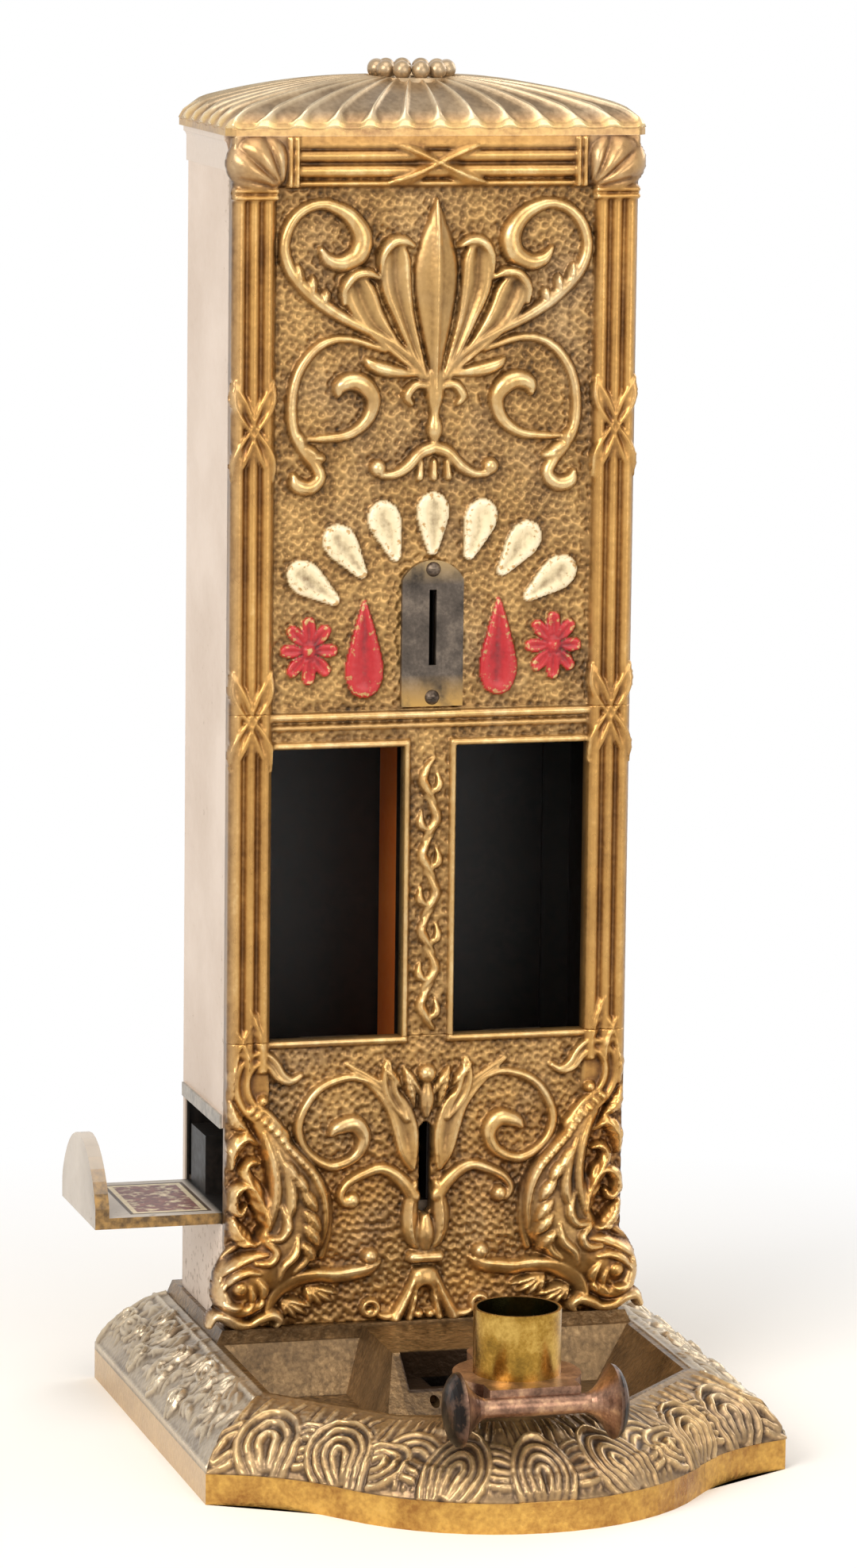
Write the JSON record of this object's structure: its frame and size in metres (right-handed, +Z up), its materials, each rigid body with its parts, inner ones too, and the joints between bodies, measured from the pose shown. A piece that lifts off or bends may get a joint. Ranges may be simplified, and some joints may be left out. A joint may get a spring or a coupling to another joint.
{
  "type": "match vending machine",
  "caption": "Counter match vendor with a cast relief front, coin slot, stock windows, a side delivery slide, a fluted roof and a bow-front ash tray base with a cigar cutter.",
  "frame": {"origin": "on the middle plane, under the face of the pilasters, on the face that rests on the counter", "axes": "+X to the machine's right as it is faced, +Y from the front to the back, +Z up"},
  "size_m": [0.1675, 0.1785, 0.363],
  "materials": {
    "gilt_cast_iron": "bronze paint over cast iron, worn, with dark hollows",
    "cream_painted_sheet": "aged pale paint on sheet metal",
    "tinned_sheet": "dull tinned sheet",
    "partition_sheet": "orange-brown paint on sheet metal",
    "window_glass": "old clear glass",
    "plate_steel": "worn grey steel",
    "dark_screw_steel": "dark steel",
    "tube_brass": "polished brass with tarnish",
    "lever_bronze": "copper-brown bronze paint",
    "blade_steel": "ground steel",
    "lock_brass": "dull brass",
    "slide_paint": "pale paint with a red-brown panel"
  },
  "bodies": {
    "machine": {"base_casting": "gilt_cast_iron", "base_plate": "tinned_sheet", "base_plate_screws": "dark_screw_steel", "body_floor": "tinned_sheet", "body_screws": "dark_screw_steel", "front_casting": "gilt_cast_iron", "left_side_panel": "cream_painted_sheet", "right_side_panel": "cream_painted_sheet", "panel_rivets": "cream_painted_sheet", "roof_casting": "gilt_cast_iron", "roof_screws": "dark_screw_steel", "hinge_pins": "dark_screw_steel", "left_glass": "window_glass", "right_glass": "window_glass", "glass_clips": "tinned_sheet", "clip_screws": "dark_screw_steel", "coin_plate": "plate_steel", "coin_plate_screws": "dark_screw_steel", "slit_screw": "dark_screw_steel", "coin_chute": "partition_sheet", "chute_screws": "dark_screw_steel", "magazine_partition": "partition_sheet", "magazine_floor": "tinned_sheet", "slide_bed": "tinned_sheet", "slide_guides": "tinned_sheet", "slide_stop": "dark_screw_steel", "latch_bracket": "tinned_sheet", "latch_pin": "dark_screw_steel", "cash_box": "tinned_sheet", "cutter_blade": "blade_steel", "cutter_pivot": "dark_screw_steel"},
    "slide": {"delivery_slide": "slide_paint"},
    "lever": {"cutter_lever": "lever_bronze", "cigar_tube": "tube_brass"},
    "door": {"back_door": "cream_painted_sheet", "lock_barrel": "lock_brass"},
    "cam": {"lock_cam": "lock_brass"},
    "latch": {"coin_latch": "lock_brass"}
  },
  "joints": [
    {"name": "slide_pull", "type": "slide", "parent": "machine", "child": "slide", "axis": [1, 0, 0], "range_m": [-0.006, 0.0303]},
    {"name": "lever_swing", "type": "hinge", "parent": "machine", "child": "lever", "pos_m": [0, -0.068, 0.03], "axis": [0, 0, 1], "range_deg": [-15, 15]},
    {"name": "door_swing", "type": "hinge", "parent": "machine", "child": "door", "pos_m": [0.0532, 0.0552, 0.18], "axis": [0, 0, -1], "range_deg": [0, 110]},
    {"name": "lock_turn", "type": "hinge", "parent": "door", "child": "cam", "pos_m": [-0.04, 0.0525, 0.1805], "axis": [0, -1, 0], "range_deg": [0, 90]},
    {"name": "latch_lift", "type": "hinge", "parent": "machine", "child": "latch", "pos_m": [0.009, 0.017, 0.066], "axis": [0, 1, 0], "range_deg": [0, 12]}
  ]
}
